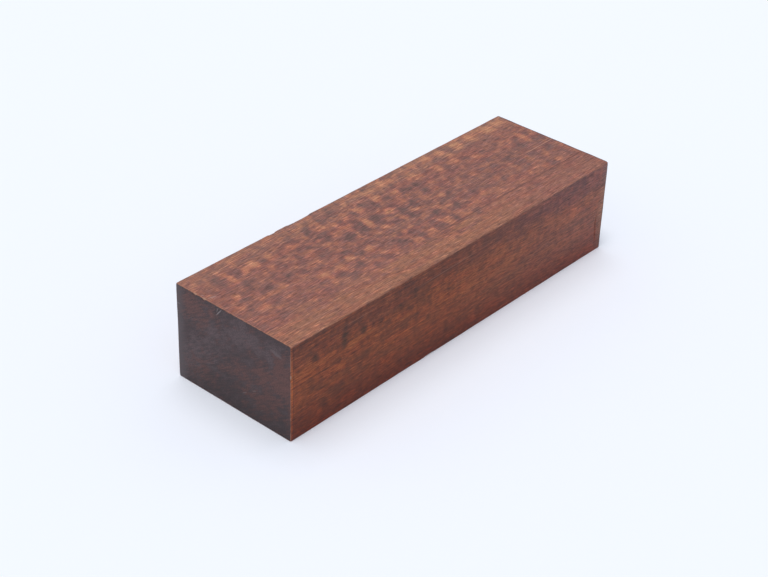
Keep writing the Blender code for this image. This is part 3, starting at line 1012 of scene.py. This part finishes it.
def long_grain_material():
    wood = LongGrain()
    colour = wood.ground()
    colour = wood.add_fibres(colour)
    colour = wood.deepen_sides(colour)
    colour = wood.draw_lines(colour, wood.across, TOP_PALE_LINES, PALE_LINE, wood.on_top)
    # One of these dark lines is a painted shadow beside the raised fibre
    colour = wood.draw_lines(colour, wood.across, TOP_DARK_LINES_AND_FIBRE_SHADOW, DARK_LINE, wood.on_top)
    colour = wood.draw_lines(colour, wood.down, SIDE_DARK_LINES, DARK_SIDE_LINE, wood.on_right)
    colour = wood.draw_lines(colour, wood.down, SIDE_PALE_LINES, PALE_SIDE_LINE, wood.on_right)
    colour = wood.scratch(colour, TOP_SCRATCHES, UP)
    colour = wood.draw_near_strip(colour)
    # Wear and a painted highlight on the arrises of the long faces, strongest at the near end
    wear_and_highlight_along = wood.remap(wood.along, *LONG_FACE_WEAR_AND_HIGHLIGHT_ALONG)
    colour = wood.wear_and_highlight(colour, LONG_FACE_WEAR_AND_HIGHLIGHT, LONG_FACE_PATCHES, wear_and_highlight_along)
    colour = wood.mix(wood.remap(wood.along, *FAR_RIM), colour, WAX_RIM)
    return wood.finish(colour, wood.grain, LONG_FACE_ROUGHNESS, LONG_FACE_BUMP, LONG_FACE_SPECULAR)


def waxed_ground(wood, clouds, streaks):
    """Dark wax, greyer where the clouds and the pale patches are high, redder where the clouds are low."""
    pale = wood.total(wood.field("oval"), clouds)
    colour = wood.mix(wood.remap(pale, *PALE_SHOWS), WAX_DARK, WAX_PALE)
    red = wood.difference(wood.field("fleck"), clouds)
    red = wood.total(red, wood.swing(streaks, RED_STREAK_SWING))
    return wood.mix(wood.remap(red, *RED_SHOWS), colour, WAX_RED)


def end_grain_material():
    wood = Wood("snakewood_end_grain")
    turned = wood.stretch(wood.places, (1.0, 1.0, 1.0), (-SAW_SLOPE, 0, 0))
    streaks = wood.noise(SAW_STREAKS, turned)
    clouds = wood.swing(wood.noise(END_CLOUDS, turned), END_CLOUDS_SWING)
    colour = waxed_ground(wood, clouds, streaks)
    colour = wood.shade(colour, wood.remap(wood.down, *END_FOOT))
    streaky = wood.swing(streaks, wood.remap(wood.across, *STREAK_SWINGS))
    colour = wood.shade(colour, wood.total(1.0, streaky))
    speckled = wood.swing(wood.noise(SPECKS), SPECKS_SWING)
    colour = wood.shade(colour, wood.total(1.0, speckled))
    colour = wood.mix(wood.remap(wood.across, *BACK_RIM), colour, WAX_RIM)
    colour = wood.scratch(colour, END_SCRATCHES, ALONG)
    colour = wood.wear_and_highlight(colour, END_WEAR_AND_HIGHLIGHT, END_PATCHES)
    return wood.finish(colour, streaks, END_ROUGHNESS, END_BUMP, END_SPECULAR)


def make_floor():
    corners = [(x * FLOOR_REACH, y * FLOOR_REACH, 0) for x, y in ((-1, -1), (1, -1), (1, 1), (-1, 1))]
    mesh = bpy.data.meshes.new("floor")
    mesh.from_pydata(corners, [], [(0, 1, 2, 3)])
    material = bpy.data.materials.new("pale_floor")
    nodes = Nodes(material)
    inputs = {"Base Color": FLOOR_COLOUR, "Roughness": FLOOR_ROUGHNESS, "Specular IOR Level": 0.0}
    nodes.show("ShaderNodeOutputMaterial", nodes.add("ShaderNodeBsdfPrincipled", inputs))
    mesh.materials.append(material)
    floor = bpy.data.objects.new("floor", mesh)
    bpy.context.scene.collection.objects.link(floor)


def make_soft_light(name, share, half_angle, tilt, azimuth):
    lamp = bpy.data.lights.new(name, "SUN")
    lamp.energy = math.pi * share
    lamp.angle = 2 * half_angle
    lamp.color = LIGHT_COLOUR
    light = bpy.data.objects.new(name, lamp)
    level = math.sin(tilt)
    towards = Vector((level * math.cos(azimuth), level * math.sin(azimuth), math.cos(tilt)))
    light.rotation_euler = towards.to_track_quat("Z", "Y").to_euler()
    bpy.context.scene.collection.objects.link(light)


def make_sky():
    world = bpy.data.worlds.new("studio")
    bpy.context.scene.world = world
    nodes = Nodes(world)
    sky = nodes.add("ShaderNodeBackground", {"Color": SKY_COLOUR, "Strength": SKY})
    nodes.show("ShaderNodeOutputWorld", sky)


def make_camera():
    data = bpy.data.cameras.new("camera")
    data.lens = LENS
    data.sensor_width = SENSOR
    data.clip_start = CLIP_START
    data.dof.use_dof = False
    camera = bpy.data.objects.new("camera", data)
    camera.location = EYE
    camera.rotation_euler = EYE_TURN
    bpy.context.scene.collection.objects.link(camera)
    bpy.context.scene.camera = camera


make_camera()
for soft_light in SOFT_LIGHTS:
    make_soft_light(*soft_light)
make_sky()
make_floor()
make_blank()
bpy.context.scene.view_settings.view_transform = "Standard"
bpy.context.view_layer.update()
